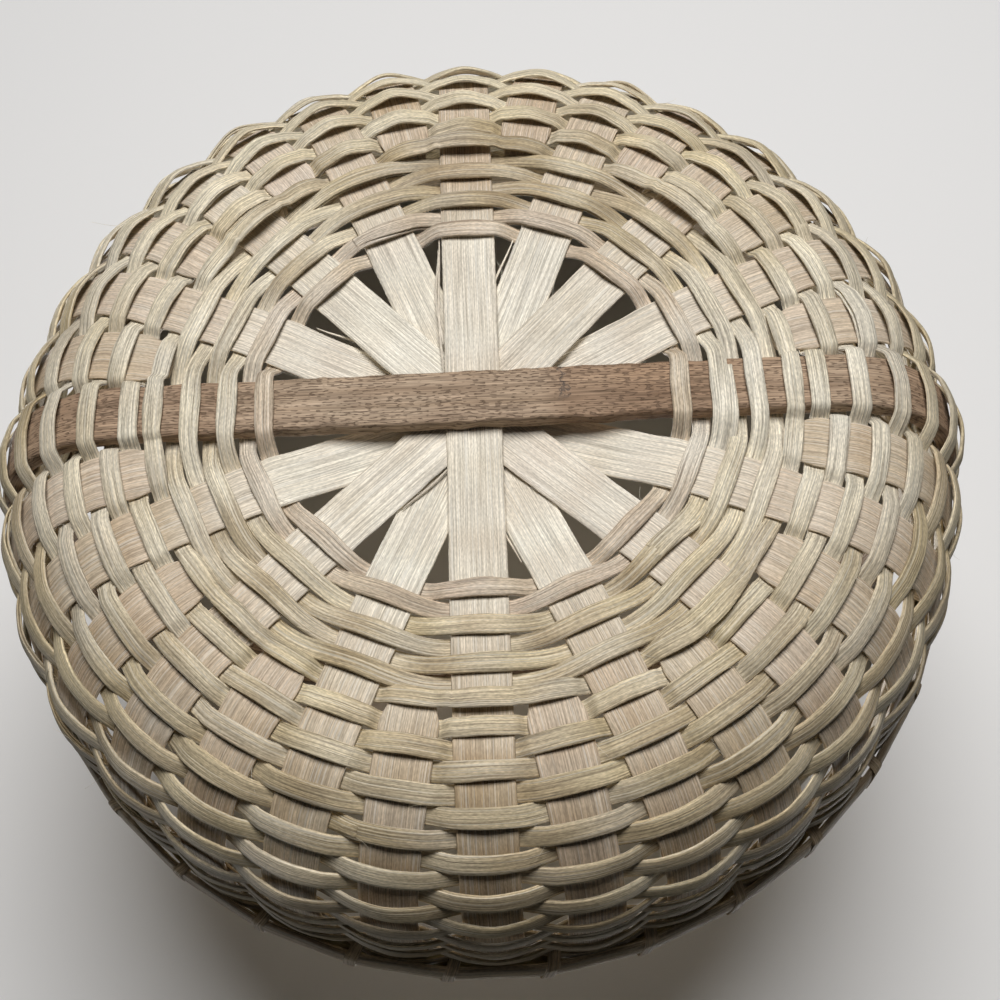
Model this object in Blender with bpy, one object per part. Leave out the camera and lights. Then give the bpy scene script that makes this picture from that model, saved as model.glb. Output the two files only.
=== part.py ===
"""Round pie basket: flat reed spokes crossed at a hub, rings of flat oval reed woven through them,
a bent oak hoop that runs under the base and up to a carrying arch, and a lashed double rim.

The basket stands upright on the plane Z = 0, with its centre on the Z axis. The oak hoop lies in
the XZ plane. There are 32 arms round the centre, numbered from +X towards +Y: the even ones are
the ends of the hoop and of the long spokes, and the odd ones are the inserted spokes.
"""

import math

import bmesh
import bpy
from mathutils import Vector

MM = 0.001

# Gap that neighbouring pieces keep
CLEARANCE = 0.3 * MM

# Flat reed of the spokes
SPOKE_WIDTH = 18.6 * MM
SPOKE_THICKNESS = 1.4 * MM
TIP_WIDTH = 12.0 * MM
HUB_MARGIN = 1.0 * MM
RAMP_END_MARGIN = 2.0 * MM

# Flat oval reed of the woven rows
WEAVER_WIDTH = 5.8 * MM
WEAVER_THICKNESS = 1.8 * MM
BASE_ROW_GAP = 0.35 * MM
TUCK_ROW_GAP = 2.2 * MM
SIDE_ROW_GAP = 0.86 * MM
CROSSING_ROOM = 0.75 * MM

# Bowl
CORNER_RADIUS = 48.5 * MM

# Oak hoop
HANDLE_WIDTH = 20.0 * MM
HANDLE_THICKNESS = 6.2 * MM
HANDLE_CHAMFER = 1.0 * MM
HANDLE_RISE = 165.0 * MM
HANDLE_STRAIGHT = 4.0 * MM
NOTCH_MARGIN = 1.0 * MM
NOTCH_SLOPE = 1.5 * MM

# Rim
RIM_THICKNESS = 3.0 * MM
RIM_LIP = 0.7 * MM
LASHING_WIDTH = 4.5 * MM
LASHING_THICKNESS = 1.0 * MM
LASHING_SLACK = 0.3 * MM

# Counts
ARMS = 32
LONG_ARM_STEP = 2
BASE_ROWS = 7
LAST_ROW = 24
ARCH_STEPS = 12
FILLER_SIDES = 8

# Share of its height at the hub that a long spoke keeps where it leaves its neighbours' edges
RAMP_SHARE = 0.54

# Arms of the long spokes, from the lowest in the hub to the highest
LONG_SPOKE_ARMS = (8, 12, 4, 10, 6, 14, 2)

ARM_ANGLE = math.tau / ARMS
GAP_TANGENT = math.tan(ARM_ANGLE / 2)
GAP_COSINE = math.cos(ARM_ANGLE / 2)
HALF_TURN = ARMS // 2
UP = Vector((0, 0, 1))

# Faces of the spokes and the hoop, and centre lines of the weavers, from the middle surface
SPOKE_FACE = SPOKE_THICKNESS / 2
HANDLE_FACE = HANDLE_THICKNESS / 2
SPOKE_CROSSING = SPOKE_FACE + CLEARANCE + WEAVER_THICKNESS / 2
HANDLE_CROSSING = HANDLE_FACE + CLEARANCE + WEAVER_THICKNESS / 2
BASE_LEVEL = HANDLE_CROSSING + WEAVER_THICKNESS / 2

# How far beyond an arm's edge a row starts to bend, so that it clears the edge
EDGE_BEND = WEAVER_THICKNESS / 2 + CLEARANCE

# The first side row lies where 32 arms just leave room for it to cross between them
WIDEST_ARM = max(HANDLE_WIDTH, SPOKE_WIDTH)
FIRST_SIDE_PITCH = (WIDEST_ARM + SPOKE_WIDTH) / 2 + 2 * EDGE_BEND + CROSSING_ROOM
FIRST_SIDE_ROW = BASE_ROWS + 1
FIRST_SIDE_PLACE = FIRST_SIDE_PITCH / 2 / GAP_TANGENT
LAST_BASE_PLACE = FIRST_SIDE_PLACE - WEAVER_WIDTH - TUCK_ROW_GAP
BASE_PITCH = WEAVER_WIDTH + BASE_ROW_GAP
SIDE_PITCH = WEAVER_WIDTH + SIDE_ROW_GAP
LAST_SIDE_PLACE = FIRST_SIDE_PLACE + SIDE_PITCH * (LAST_ROW - FIRST_SIDE_ROW)
RIM_ROW_PLACE = LAST_SIDE_PLACE + WEAVER_WIDTH + 2 * CLEARANCE + LASHING_THICKNESS
SPOKE_END = RIM_ROW_PLACE + WEAVER_WIDTH / 2

# The bowl's middle surface: flat, then a quarter circle, then an upright wall
FLAT_RADIUS = FIRST_SIDE_PLACE + SIDE_PITCH / 2
CORNER_END = FLAT_RADIUS + CORNER_RADIUS * math.pi / 2
WALL_RADIUS = FLAT_RADIUS + CORNER_RADIUS

# Rim sizes from what the rim holds
RIM_OFFSET = SPOKE_CROSSING + WEAVER_THICKNESS / 2 + CLEARANCE
RIM_FACE = RIM_OFFSET + RIM_THICKNESS
FILLER_DIAMETER = 2 * (RIM_OFFSET - CLEARANCE)


def middle_surface(place):
    """Radius, height and slope of the bowl at a distance along it from the hub's centre."""
    if place <= FLAT_RADIUS:
        return place, BASE_LEVEL, 0.0
    if place <= CORNER_END:
        slope = (place - FLAT_RADIUS) / CORNER_RADIUS
        radius = FLAT_RADIUS + CORNER_RADIUS * math.sin(slope)
        height = BASE_LEVEL + CORNER_RADIUS * (1 - math.cos(slope))
        return radius, height, slope
    return WALL_RADIUS, BASE_LEVEL + CORNER_RADIUS + place - CORNER_END, math.pi / 2


def wall_height(place):
    return middle_surface(place)[1]


LASHING_LEVEL = wall_height(LAST_SIDE_PLACE) + WEAVER_WIDTH / 2 + CLEARANCE + LASHING_THICKNESS / 2
RIM_BOTTOM = LASHING_LEVEL + LASHING_THICKNESS / 2 + CLEARANCE
FILLER_LEVEL = wall_height(SPOKE_END) + CLEARANCE + FILLER_DIAMETER / 2
RIM_TOP = FILLER_LEVEL + FILLER_DIAMETER / 2 + RIM_LIP
LASHING_TOP = RIM_TOP + CLEARANCE + LASHING_THICKNESS / 2
LASHING_OFFSET = RIM_FACE + CLEARANCE + LASHING_SLACK + LASHING_THICKNESS / 2
ARCH_BASE = RIM_TOP + HANDLE_STRAIGHT


def clear_scene():
    for item in list(bpy.data.objects):
        bpy.data.objects.remove(item)


def make_material(name, color, roughness):
    material = bpy.data.materials.new(name)
    material.use_nodes = True
    shader = material.node_tree.nodes["Principled BSDF"]
    shader.inputs["Base Color"].default_value = (*color, 1.0)
    shader.inputs["Roughness"].default_value = roughness
    material.diffuse_color = (*color, 1.0)
    return material


def arm_axes(arm):
    """Unit vectors out along an arm and across it."""
    angle = arm * ARM_ANGLE
    out = Vector((math.cos(angle), math.sin(angle), 0))
    return out, UP.cross(out)


def bowl_point(arm, place, offset, across=0.0):
    """A point near an arm: its distance along the bowl, outwards from it and across the arm."""
    out, side = arm_axes(arm)
    radius, height, slope = middle_surface(place)
    reach = radius + offset * math.sin(slope)
    return out * reach + side * across + UP * (height - offset * math.cos(slope))


def bowl_tangent(arm, place):
    """Unit vector up the bowl along an arm."""
    slope = middle_surface(place)[2]
    return arm_axes(arm)[0] * math.cos(slope) + UP * math.sin(slope)


def half_turned(point):
    return Vector((-point.x, -point.y, point.z))


def sweep(name, sections, closed, material):
    """One solid through a list of sections, each a loop of as many corners, closed or capped."""
    mesh = bpy.data.meshes.new(name)
    shape = bmesh.new()
    loops = [[shape.verts.new(corner) for corner in section] for section in sections]
    followers = loops[1:] + loops[:1] if closed else loops[1:]
    for loop, follower in zip(loops, followers):
        for i in range(len(loop)):
            after = (i + 1) % len(loop)
            shape.faces.new((loop[i], loop[after], follower[after], follower[i]))
    if not closed:
        shape.faces.new(loops[0])
        shape.faces.new(loops[-1])
    bmesh.ops.recalc_face_normals(shape, faces=shape.faces)
    shape.to_mesh(mesh)
    shape.free()
    mesh.materials.append(material)
    piece = bpy.data.objects.new(name, mesh)
    bpy.context.scene.collection.objects.link(piece)
    return piece


def miter(before, here, after, width_axis):
    """The thickness direction at a bend, lengthened so that the strip keeps its thickness."""
    first = width_axis.cross(here - before).normalized()
    second = width_axis.cross(after - here).normalized()
    middle = (first + second).normalized()
    return middle / middle.dot(first)


def flat_section(centre, width_axis, thickness_axis, width, thickness):
    half_width = width_axis * (width / 2)
    half_thickness = thickness_axis * (thickness / 2)
    return [
        centre - half_width - half_thickness,
        centre + half_width - half_thickness,
        centre + half_width + half_thickness,
        centre - half_width + half_thickness,
    ]


def is_handle(arm):
    return arm % HALF_TURN == 0


def is_inserted(arm):
    return arm % LONG_ARM_STEP == 1


def row_place(row):
    if row <= BASE_ROWS:
        return LAST_BASE_PLACE - BASE_PITCH * (BASE_ROWS - row)
    if row <= LAST_ROW:
        return FIRST_SIDE_PLACE + SIDE_PITCH * (row - FIRST_SIDE_ROW)
    return RIM_ROW_PLACE


def passes_outside(row, arm):
    """Whether a row runs over the outer face of an arm."""
    if row > BASE_ROWS:
        return is_inserted(arm) == (row % 2 == 1)
    if row == BASE_ROWS and is_inserted(arm):
        return True
    return (arm // LONG_ARM_STEP) % 2 == (row + 1) % 2


def inserted_width(place):
    """The inserted spokes narrow to their tips inside the last base row."""
    tip = LAST_BASE_PLACE - WEAVER_WIDTH / 2
    share = (place - tip) / (FIRST_SIDE_PLACE - tip)
    return TIP_WIDTH + (SPOKE_WIDTH - TIP_WIDTH) * min(share, 1.0)


def arm_width(row, arm):
    if is_handle(arm):
        return HANDLE_WIDTH
    if is_inserted(arm):
        return inserted_width(row_place(row) + WEAVER_WIDTH / 2)
    return SPOKE_WIDTH


def weaver_offset(row, arm):
    """How far outside the middle surface a row crosses an arm; the hoop is thin at the rim."""
    crossing = HANDLE_CROSSING if is_handle(arm) and row <= LAST_ROW else SPOKE_CROSSING
    return crossing if passes_outside(row, arm) else -crossing


def make_row(row, name, material):
    """One closed ring, which bends just beyond each arm's edges to cross between the arms."""
    place = row_place(row)
    step = LONG_ARM_STEP if row < BASE_ROWS else 1
    points, width_axes = [], []
    for arm in range(0, ARMS, step):
        for side in (-1, 1):
            across = side * (arm_width(row, arm) / 2 + EDGE_BEND)
            points.append(bowl_point(arm, place, weaver_offset(row, arm), across))
            width_axes.append(bowl_tangent(arm, place))
    sections = []
    for i, here in enumerate(points):
        after = points[(i + 1) % len(points)]
        thickness_axis = miter(points[i - 1], here, after, width_axes[i])
        sections.append(
            flat_section(here, width_axes[i], thickness_axis, WEAVER_WIDTH, WEAVER_THICKNESS)
        )
    return sweep(name, sections, True, material)


def corner_places():
    """Places between the rows from the flat base to the upright wall, where the arms may bend."""
    places = [FLAT_RADIUS]
    while places[-1] < CORNER_END:
        places.append(places[-1] + SIDE_PITCH)
    return places


def hub_stations(level):
    """Places and heights by which a long spoke comes down from its level in the hub."""
    lowest = HANDLE_FACE + CLEARANCE + SPOKE_FACE
    height = lowest + (level - 1) * (SPOKE_THICKNESS + CLEARANCE)
    stack_end = SPOKE_WIDTH / 2 / math.tan(LONG_ARM_STEP * ARM_ANGLE) + HUB_MARGIN
    edges_part = WIDEST_ARM / 2 / math.tan(ARM_ANGLE) + HUB_MARGIN
    ramp_end = row_place(1) - WEAVER_WIDTH / 2 - RAMP_END_MARGIN
    return [(stack_end, height), (edges_part, height * RAMP_SHARE), (ramp_end, 0.0)]


def spoke_sections(arm, stations):
    """Sections of a spoke from (place, height inside the middle surface, width) stations."""
    side = arm_axes(arm)[1]
    points = [bowl_point(arm, place, -height) for place, height, _ in stations]
    before = points[0] - bowl_tangent(arm, stations[0][0])
    after = points[-1] + bowl_tangent(arm, stations[-1][0])
    chain = [before, *points, after]
    sections = []
    for i, (_, _, width) in enumerate(stations):
        thickness_axis = miter(chain[i], chain[i + 1], chain[i + 2], side)
        sections.append(flat_section(points[i], side, thickness_axis, width, SPOKE_THICKNESS))
    return sections


def make_long_spoke(level, arm, name, material):
    places = [(place, 0.0) for place in [*corner_places(), SPOKE_END]]
    stations = [(*station, SPOKE_WIDTH) for station in hub_stations(level) + places]
    near = spoke_sections(arm, stations)
    # The far half is the near one turned half round, so its corners swap across the strip.
    far = [[half_turned(section[i]) for i in (1, 0, 3, 2)] for section in reversed(near)]
    return sweep(name, far + near, False, material)


def make_inserted_spoke(arm, name, material):
    tip = LAST_BASE_PLACE - WEAVER_WIDTH / 2 + CLEARANCE
    places = [tip, FIRST_SIDE_PLACE, *corner_places(), SPOKE_END]
    stations = [(place, 0.0, inserted_width(place)) for place in places]
    return sweep(name, spoke_sections(arm, stations), False, material)


def handle_stations():
    """Half of the hoop, from the base up to the arch: centre, outward axis, inner and outer face."""
    out = arm_axes(0)[0]
    stations = []
    for place in corner_places():
        slope = middle_surface(place)[2]
        outward = out * math.sin(slope) - UP * math.cos(slope)
        stations.append((bowl_point(0, place, 0.0), outward, HANDLE_FACE, HANDLE_FACE))
    notch_bottom = RIM_BOTTOM - CLEARANCE - NOTCH_MARGIN
    notch_top = RIM_TOP + CLEARANCE + NOTCH_MARGIN
    notch_outer_face = RIM_OFFSET - CLEARANCE
    for height, inner, outer in (
        (notch_bottom - NOTCH_SLOPE, HANDLE_FACE, HANDLE_FACE),
        (notch_bottom, SPOKE_FACE, notch_outer_face),
        (notch_top, SPOKE_FACE, notch_outer_face),
        (notch_top + NOTCH_SLOPE, HANDLE_FACE, HANDLE_FACE),
    ):
        stations.append((out * WALL_RADIUS + UP * height, out, inner, outer))
    for step in range(ARCH_STEPS):
        # Half a step short of the top, so that the last facet lies level there.
        angle = math.pi * step / (2 * ARCH_STEPS - 1)
        outward = out * (math.cos(angle) * HANDLE_RISE) + UP * (math.sin(angle) * WALL_RADIUS)
        height = ARCH_BASE + math.sin(angle) * HANDLE_RISE
        centre = out * (math.cos(angle) * WALL_RADIUS) + UP * height
        stations.append((centre, outward.normalized(), HANDLE_FACE, HANDLE_FACE))
    return stations


def handle_section(centre, outward, inner, outer):
    """An eight-sided section: a flat strip with its long edges taken off."""
    across = Vector((0, 1, 0))
    half = HANDLE_WIDTH / 2
    cut = HANDLE_CHAMFER
    corners = (
        (half - cut, -inner),
        (half, cut - inner),
        (half, outer - cut),
        (half - cut, outer),
        (cut - half, outer),
        (-half, outer - cut),
        (-half, cut - inner),
        (cut - half, -inner),
    )
    return [centre + across * u + outward * v for u, v in corners]


def make_handle(name, material):
    half = [handle_section(*station) for station in handle_stations()]
    mirrored = [[Vector((-p.x, p.y, p.z)) for p in section] for section in reversed(half)]
    return sweep(name, half + mirrored, True, material)


def gap_point(gap, offset, height):
    """A point between two arms, at a corner of the ring whose flats face the arms."""
    out = arm_axes(gap + 1 / 2)[0]
    return out * ((WALL_RADIUS + offset) / GAP_COSINE) + UP * height


def make_rim_band(near, far, name, material):
    """A hoop of half-round reed between two offsets from the wall's middle surface."""
    sections = []
    for gap in range(ARMS):
        corners = ((near, RIM_BOTTOM), (far, RIM_BOTTOM), (far, RIM_TOP), (near, RIM_TOP))
        sections.append([gap_point(gap, offset, height) for offset, height in corners])
    return sweep(name, sections, True, material)


def make_filler(first_arm, name, material):
    """The round filler on one side of the hoop, lying on the spokes' ends between the bands."""
    start = HANDLE_WIDTH / 2 + CLEARANCE
    last_arm = first_arm + HALF_TURN
    path = []
    for arm, side in ((first_arm, 1), (last_arm, -1)):
        out, across = arm_axes(arm)
        path.append((out * WALL_RADIUS + across * (side * start) + UP * FILLER_LEVEL, out))
    path[1:1] = [
        (gap_point(gap, 0.0, FILLER_LEVEL), arm_axes(gap + 1 / 2)[0])
        for gap in range(first_arm, last_arm)
    ]
    sections = []
    for centre, out in path:
        section = []
        for i in range(FILLER_SIDES):
            angle = math.tau * (i + 1 / 2) / FILLER_SIDES
            spread = out * math.cos(angle) + UP * math.sin(angle)
            section.append(centre + spread * (FILLER_DIAMETER / 2))
        sections.append(section)
    return sweep(name, sections, False, material)


def make_lashing(name, material):
    """One strip that goes up outside and over the rim at each gap, then slants down inside."""
    sections = []
    for gap in range(ARMS):
        turns = (
            (gap, LASHING_OFFSET, LASHING_LEVEL, 1, -1),
            (gap, LASHING_OFFSET, LASHING_TOP, 1, 1),
            (gap, -LASHING_OFFSET, LASHING_TOP, -1, 1),
            (gap + 1, -LASHING_OFFSET, LASHING_LEVEL, -1, -1),
        )
        for place, offset, height, away, above in turns:
            out, across = arm_axes(place + 1 / 2)
            centre = gap_point(place, offset, height)
            thickness_axis = out * away + UP * above
            sections.append(
                flat_section(centre, across, thickness_axis, LASHING_WIDTH, LASHING_THICKNESS)
            )
    return sweep(name, sections, True, material)


def build():
    clear_scene()
    spoke_reed = make_material("spoke_reed", (0.62, 0.50, 0.34), 0.6)
    weaver_reed = make_material("weaver_reed", (0.55, 0.46, 0.31), 0.6)
    oak = make_material("oak", (0.32, 0.20, 0.12), 0.65)
    rush = make_material("rush", (0.42, 0.36, 0.21), 0.8)

    make_handle("hoop_handle", oak)
    for level, arm in enumerate(LONG_SPOKE_ARMS, start=1):
        make_long_spoke(level, arm, f"long_spoke_{level}", spoke_reed)
    for number, arm in enumerate(range(1, ARMS, LONG_ARM_STEP), start=1):
        make_inserted_spoke(arm, f"inserted_spoke_{number:02d}", spoke_reed)
    for row in range(1, FIRST_SIDE_ROW):
        make_row(row, f"base_row_{row:02d}", weaver_reed)
    for row in range(FIRST_SIDE_ROW, LAST_ROW + 1):
        make_row(row, f"side_row_{row:02d}", weaver_reed)
    make_row(LAST_ROW + 1, "rim_row", weaver_reed)
    make_rim_band(RIM_OFFSET, RIM_FACE, "outer_rim_band", spoke_reed)
    make_rim_band(-RIM_FACE, -RIM_OFFSET, "inner_rim_band", spoke_reed)
    make_filler(0, "rim_filler_back", rush)
    make_filler(HALF_TURN, "rim_filler_front", rush)
    make_lashing("rim_lashing", weaver_reed)


build()
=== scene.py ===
"""Dresses the CAD frame of the round pie basket, and sets its stage, lights and camera.

Every woven row, spoke, rim piece and the oak hoop is rebuilt with its real section and bends, in
the space that its CAD solid holds. Lengths are in metres. The basket stands on the plane Z = 0,
arm 0 lies along +X, arm 8 along +Y, and there are 32 arms, as in the CAD source. The camera looks
at the base from below, so that the basket shows upside down, as in the photograph.
"""

import math

import bpy
import numpy as np
from mathutils import Matrix, Vector


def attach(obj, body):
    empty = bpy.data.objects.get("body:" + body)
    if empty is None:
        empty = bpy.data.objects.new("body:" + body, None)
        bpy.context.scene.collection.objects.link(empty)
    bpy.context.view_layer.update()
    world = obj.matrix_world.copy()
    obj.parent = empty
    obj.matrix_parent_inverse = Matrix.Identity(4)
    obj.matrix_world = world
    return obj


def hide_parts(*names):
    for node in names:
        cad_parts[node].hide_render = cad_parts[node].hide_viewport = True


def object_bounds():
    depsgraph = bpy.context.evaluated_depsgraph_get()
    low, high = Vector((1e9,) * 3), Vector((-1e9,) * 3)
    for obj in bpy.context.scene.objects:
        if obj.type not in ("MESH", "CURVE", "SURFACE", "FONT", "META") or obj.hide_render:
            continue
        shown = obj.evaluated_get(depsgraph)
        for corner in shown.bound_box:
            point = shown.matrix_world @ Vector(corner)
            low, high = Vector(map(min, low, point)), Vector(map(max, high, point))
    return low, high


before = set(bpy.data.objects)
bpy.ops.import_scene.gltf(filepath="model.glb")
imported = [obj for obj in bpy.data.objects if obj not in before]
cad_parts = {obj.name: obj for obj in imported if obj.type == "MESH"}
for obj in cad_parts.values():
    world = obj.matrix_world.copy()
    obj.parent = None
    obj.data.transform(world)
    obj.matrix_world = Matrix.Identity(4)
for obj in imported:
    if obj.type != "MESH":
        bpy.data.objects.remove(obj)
cad_low, cad_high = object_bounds()

scene = bpy.context.scene
MM = 0.001

# The basket's pieces, for the lamps that shine on them alone
BASKET = bpy.data.collections.new("basket_pieces")

# The frame's own sizes, as in the CAD source
ARMS = 32
HALF_TURN = 16
ARM_ANGLE = math.tau / ARMS
SPOKE_WIDTH = 18.6 * MM
TIP_WIDTH = 12.0 * MM
WEAVER_WIDTH = 5.8 * MM
WEAVER_THICKNESS = 1.8 * MM
BASE_ROW_GAP = 0.35 * MM
TUCK_ROW_GAP = 2.2 * MM
SIDE_ROW_GAP = 0.86 * MM
CROSSING_ROOM = 0.75 * MM
CLEARANCE = 0.3 * MM
CORNER_RADIUS = 48.5 * MM
HANDLE_WIDTH = 20.0 * MM
HANDLE_THICKNESS = 6.2 * MM
HANDLE_RISE = 165.0 * MM
HANDLE_STRAIGHT = 4.0 * MM
SPOKE_THICKNESS = 1.4 * MM
RIM_THICKNESS = 3.0 * MM
RIM_LIP = 0.7 * MM
LASHING_THICKNESS = 1.0 * MM
BASE_ROWS = 7
LAST_ROW = 24
RIM_ROW = 25
LONG_SPOKE_ARMS = (8, 12, 4, 10, 6, 14, 2)

SPOKE_FACE = SPOKE_THICKNESS / 2
HANDLE_FACE = HANDLE_THICKNESS / 2
BASE_LEVEL = HANDLE_FACE + CLEARANCE + WEAVER_THICKNESS
CROSSING = WEAVER_THICKNESS + 2 * CLEARANCE + CROSSING_ROOM
FIRST_SIDE_PITCH = (HANDLE_WIDTH + SPOKE_WIDTH) / 2 + CROSSING
FIRST_SIDE_PLACE = FIRST_SIDE_PITCH / 2 / math.tan(ARM_ANGLE / 2)
LAST_BASE_PLACE = FIRST_SIDE_PLACE - WEAVER_WIDTH - TUCK_ROW_GAP
BASE_PITCH = WEAVER_WIDTH + BASE_ROW_GAP
SIDE_PITCH = WEAVER_WIDTH + SIDE_ROW_GAP
LAST_SIDE_PLACE = FIRST_SIDE_PLACE + SIDE_PITCH * (LAST_ROW - BASE_ROWS - 1)
RIM_ROW_PLACE = LAST_SIDE_PLACE + WEAVER_WIDTH + 2 * CLEARANCE + LASHING_THICKNESS
SPOKE_END = RIM_ROW_PLACE + WEAVER_WIDTH / 2
FLAT_RADIUS = FIRST_SIDE_PLACE + SIDE_PITCH / 2
CORNER_END = FLAT_RADIUS + CORNER_RADIUS * math.pi / 2
WALL_RADIUS = FLAT_RADIUS + CORNER_RADIUS
RIM_OFFSET = SPOKE_FACE + WEAVER_THICKNESS + 2 * CLEARANCE
RIM_FACE = RIM_OFFSET + RIM_THICKNESS
FILLER_RADIUS = RIM_OFFSET - CLEARANCE


def surface(place):
    """Radius, height and slope of the bowl's middle surface at distances along it."""
    place = np.asarray(place, float)
    slope = np.clip((place - FLAT_RADIUS) / CORNER_RADIUS, 0, math.pi / 2)
    radius = np.minimum(place, FLAT_RADIUS) + CORNER_RADIUS * np.sin(slope)
    height = BASE_LEVEL + CORNER_RADIUS * (1 - np.cos(slope)) + np.maximum(place - CORNER_END, 0)
    return radius, height, slope


LAST_ROW_TOP = surface(LAST_SIDE_PLACE)[1] + WEAVER_WIDTH / 2
LASHING_LEVEL = LAST_ROW_TOP + CLEARANCE + LASHING_THICKNESS / 2
RIM_BOTTOM = LASHING_LEVEL + LASHING_THICKNESS / 2 + CLEARANCE
FILLER_LEVEL = surface(SPOKE_END)[1] + CLEARANCE + FILLER_RADIUS
RIM_TOP = FILLER_LEVEL + FILLER_RADIUS + RIM_LIP
RIM_MIDDLE = (RIM_BOTTOM + RIM_TOP) / 2
LASHING_TOP = RIM_TOP + CLEARANCE + LASHING_THICKNESS / 2
ARCH_BASE = RIM_TOP + HANDLE_STRAIGHT


# Small tools


def unit(vectors):
    return vectors / np.linalg.norm(vectors, axis=-1, keepdims=True)


def smoothstep(low, high, x):
    share = np.clip((x - low) / (high - low), 0, 1)
    return share * share * (3 - 2 * share)


def spline(x, y, at):
    """A monotone cubic through the points, read at the given places."""
    x, y = np.asarray(x, float), np.asarray(y, float)
    step = np.diff(x)
    rise = np.diff(y) / step
    same = rise[:-1] * rise[1:] > 0
    before, after = 2 * step[1:] + step[:-1], step[1:] + 2 * step[:-1]
    slope = np.zeros(len(x))
    safe_low = np.where(same, rise[:-1], 1.0)
    safe_high = np.where(same, rise[1:], 1.0)
    slope[1:-1] = np.where(same, (before + after) / (before / safe_low + after / safe_high), 0.0)
    slope[0], slope[-1] = rise[0], rise[-1]
    i = np.clip(np.searchsorted(x, at) - 1, 0, len(step) - 1)
    share = (at - x[i]) / step[i]
    return (
        y[i] * (1 + 2 * share) * (1 - share) ** 2
        + slope[i] * step[i] * share * (1 - share) ** 2
        + y[i + 1] * share**2 * (3 - 2 * share)
        + slope[i + 1] * step[i] * share**2 * (share - 1)
    )


def round_spline(x, y, at, period):
    """The same through points that repeat after a period."""
    order = np.argsort(x)
    x, y = np.asarray(x, float)[order], np.asarray(y, float)[order]
    wide = np.concatenate([x - period, x, x + period])
    return spline(wide, np.tile(y, 3), np.mod(at - x[0], period) + x[0])


def wander(rng, size, orders, angle):
    """A smooth random wave of an angle, of about the given size."""
    phases = rng.uniform(0, math.tau, len(orders))
    weights = rng.uniform(0.5, 1.0, len(orders)) * size / math.sqrt(len(orders))
    return sum(w * np.cos(n * angle + p) for w, n, p in zip(weights, orders, phases))


def distances(points, closed):
    """Distance along a line to each of its points, and back to the first one if it is closed."""
    joined = np.concatenate([points, points[:1]]) if closed else points
    return np.concatenate([[0.0], np.cumsum(np.linalg.norm(np.diff(joined, axis=0), axis=1))])


# A ring's share of the way out to the corners between its arms
CORNER_SHARE = 0.6


def ring_reach(reach, angle, corners=ARMS):
    """How far from the axis a ring of this radius over its arms runs."""
    spare = (1 / math.cos(math.pi / corners) - 1) * CORNER_SHARE
    return reach * (1 + spare * (1 - np.cos(corners * angle)) / 2)


def round_points(reach, angle, level):
    """Points round the basket's axis."""
    return np.stack([reach * np.cos(angle), reach * np.sin(angle), level + 0 * angle], -1)


def mirrored(outer, inner):
    """A whole section from its right half: the outer face from edge to middle, then the inner one."""
    outer_left = [(-x, y) for x, y in outer]
    inner_left = [(-x, y) for x, y in inner]
    return (*outer_left, *outer[-2::-1], *inner, *inner_left[-2::-1])


OVAL_REED = mirrored(
    ((1, -0.2), (0.98, 0.22), (0.9, 0.56), (0.68, 0.8), (0.34, 0.94), (0, 1)),
    ((0.97, -0.7), (0.8, -0.97), (0, -1)),
)
FLAT_REED = mirrored(
    ((1, -0.1), (0.985, 0.5), (0.93, 0.8), (0.7, 0.92), (0.35, 0.98), (0, 1)),
    ((0.98, -0.7), (0.9, -0.95), (0.45, -1), (0, -1)),
)
SAWN_STRIP = mirrored(
    ((1, 0.5), (0.985, 0.78), (0.94, 0.94), (0.85, 1), (0.4, 1), (0, 1)),
    ((1, 0), (1, -0.5), (0.985, -0.78), (0.94, -0.94), (0.85, -1), (0.4, -1), (0, -1)),
)
HALF_ROUND = mirrored(
    ((1, -0.6), (0.97, 0.0), (0.85, 0.42), (0.6, 0.75), (0.3, 0.94), (0, 1)),
    ((0.92, -0.95), (0.5, -1), (0, -1)),
)
HAIR = ((-1, 0), (0, 1), (1, 0), (0, -1))


def placed(name, data):
    """A new object in the scene."""
    made = bpy.data.objects.new(name, data)
    scene.collection.objects.link(made)
    return made


def add_piece(name, strips, material, nodes):
    """A visible piece in the place of its nodes. The basket has one body."""
    piece = placed(name, joined_mesh(name, strips))
    piece.data.materials.append(material)
    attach(piece, "root")
    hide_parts(*nodes)
    BASKET.objects.link(piece)


# What one step of a strip's seed adds along and through its grain
SEED_ALONG = 7.31
SEED_THROUGH = 0.113


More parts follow.
